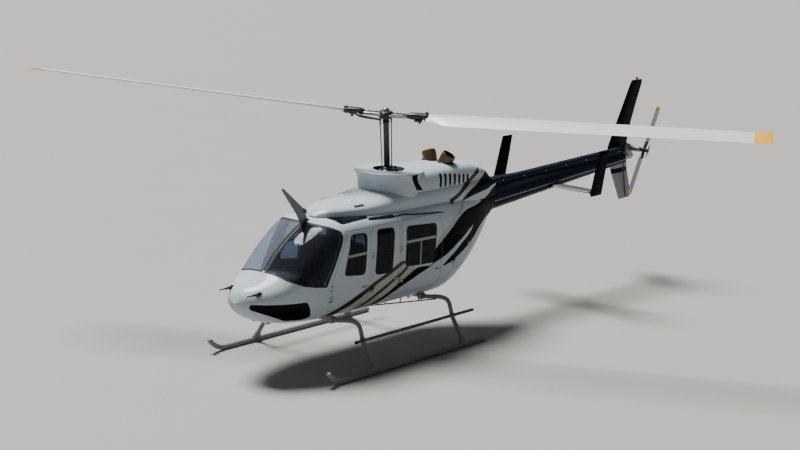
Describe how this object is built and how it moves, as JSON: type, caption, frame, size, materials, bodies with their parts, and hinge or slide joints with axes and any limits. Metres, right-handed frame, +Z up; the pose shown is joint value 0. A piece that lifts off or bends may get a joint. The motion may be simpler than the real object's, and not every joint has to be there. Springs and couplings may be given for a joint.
{
  "type": "light turbine helicopter",
  "caption": "Light turbine helicopter on high skids with flight steps: coupled main and tail rotors, hinged crew, litter, passenger and baggage doors, hollow cabin with seats.",
  "frame": {"origin": "on the ground under the middle of the bounding box; the foot of the rotor mast is 1.94 m ahead of it", "axes": "+X forward along the fuselage, +Y to port, +Z up"},
  "size_m": [10.38, 10.1192, 3.8234],
  "materials": {
    "white_paint": "gloss",
    "dark_paint": "gloss",
    "black_paint": "gloss",
    "grey_paint": "satin",
    "dark_grey_metal": "satin",
    "blade_paint": "satin",
    "floor_panel": "satin",
    "glazing": "gloss",
    "black_trim": "matte",
    "seat_leather": "satin",
    "steel": "satin",
    "burnt_steel": "matte",
    "cast_metal": "matte"
  },
  "bodies": {
    "airframe": {"nose_shell": "white_paint", "cabin_frame": "white_paint", "cabin_roof": "white_paint", "cabin_floor": "floor_panel", "windscreen_left": "glazing", "windscreen_right": "glazing", "aft_fuselage": "white_paint", "instrument_panel": "black_trim", "crew_seat_left": "seat_leather", "crew_seat_right": "seat_leather", "middle_seats": "seat_leather", "rear_bench": "seat_leather", "lower_cowling": "white_paint", "transmission_cowling": "white_paint", "engine_cowling": "white_paint", "aft_fairing": "dark_paint", "engine": "cast_metal", "transmission": "cast_metal", "exhaust_left": "burnt_steel", "exhaust_right": "burnt_steel", "tail_boom": "dark_paint", "driveshaft_cover": "dark_paint", "tail_gearbox": "dark_grey_metal", "tail_fin": "black_paint", "stabilizer": "grey_paint", "end_plate_left": "black_paint", "end_plate_right": "black_paint", "skid_left": "grey_paint", "skid_right": "grey_paint", "step_left": "dark_grey_metal", "step_right": "dark_grey_metal", "crosstube_front": "grey_paint", "crosstube_rear": "grey_paint", "wire_cutter": "steel", "pitot_tube_left": "steel", "pitot_tube_right": "steel"},
    "main_rotor": {"mast": "steel", "rotor_hub": "steel", "blade_grip_1": "black_trim", "blade_grip_2": "black_trim", "main_blade_1": "blade_paint", "main_blade_2": "blade_paint"},
    "tail_rotor": {"tail_rotor_hub": "steel", "tail_blade_1": "blade_paint", "tail_blade_2": "blade_paint"},
    "left_crew_door": {"crew_door_left": "white_paint"},
    "right_crew_door": {"crew_door_right": "white_paint"},
    "left_litter_door": {"litter_door": "white_paint"},
    "left_passenger_door": {"passenger_door_left": "white_paint"},
    "right_passenger_door": {"passenger_door_right": "white_paint"},
    "left_baggage_door": {"baggage_door": "white_paint"}
  },
  "joints": [
    {"name": "main_rotor_spin", "type": "hinge", "parent": "airframe", "child": "main_rotor", "pos_m": [1.94, 0, 2.13], "axis": [0.0872, 0, 0.9962], "continuous": true},
    {"name": "tail_rotor_spin", "type": "hinge", "parent": "airframe", "child": "tail_rotor", "pos_m": [-4.61, 0.36, 2.23], "axis": [0, 1, 0], "continuous": true},
    {"name": "crew_door_left_hinge", "type": "hinge", "parent": "airframe", "child": "left_crew_door", "pos_m": [3.865, 0.661, 1.15], "axis": [0, 0, -1], "range_deg": [0, 85]},
    {"name": "crew_door_right_hinge", "type": "hinge", "parent": "airframe", "child": "right_crew_door", "pos_m": [3.865, -0.661, 1.15], "axis": [0, 0, 1], "range_deg": [0, 85]},
    {"name": "litter_door_hinge", "type": "hinge", "parent": "airframe", "child": "left_litter_door", "pos_m": [3, 0.674, 1.285], "axis": [0, 0, -1], "range_deg": [0, 85]},
    {"name": "passenger_door_left_hinge", "type": "hinge", "parent": "airframe", "child": "left_passenger_door", "pos_m": [2.36, 0.674, 1.285], "axis": [0, 0, -1], "range_deg": [0, 85]},
    {"name": "passenger_door_right_hinge", "type": "hinge", "parent": "airframe", "child": "right_passenger_door", "pos_m": [2.36, -0.674, 1.285], "axis": [0, 0, 1], "range_deg": [0, 85]},
    {"name": "baggage_door_hinge", "type": "hinge", "parent": "airframe", "child": "left_baggage_door", "pos_m": [1.08, 0.652, 1.33], "axis": [0, 0, -1], "range_deg": [0, 90]}
  ],
  "couplings": [
    {"joint": "tail_rotor_spin", "follows": "main_rotor_spin", "ratio": 6.47}
  ]
}
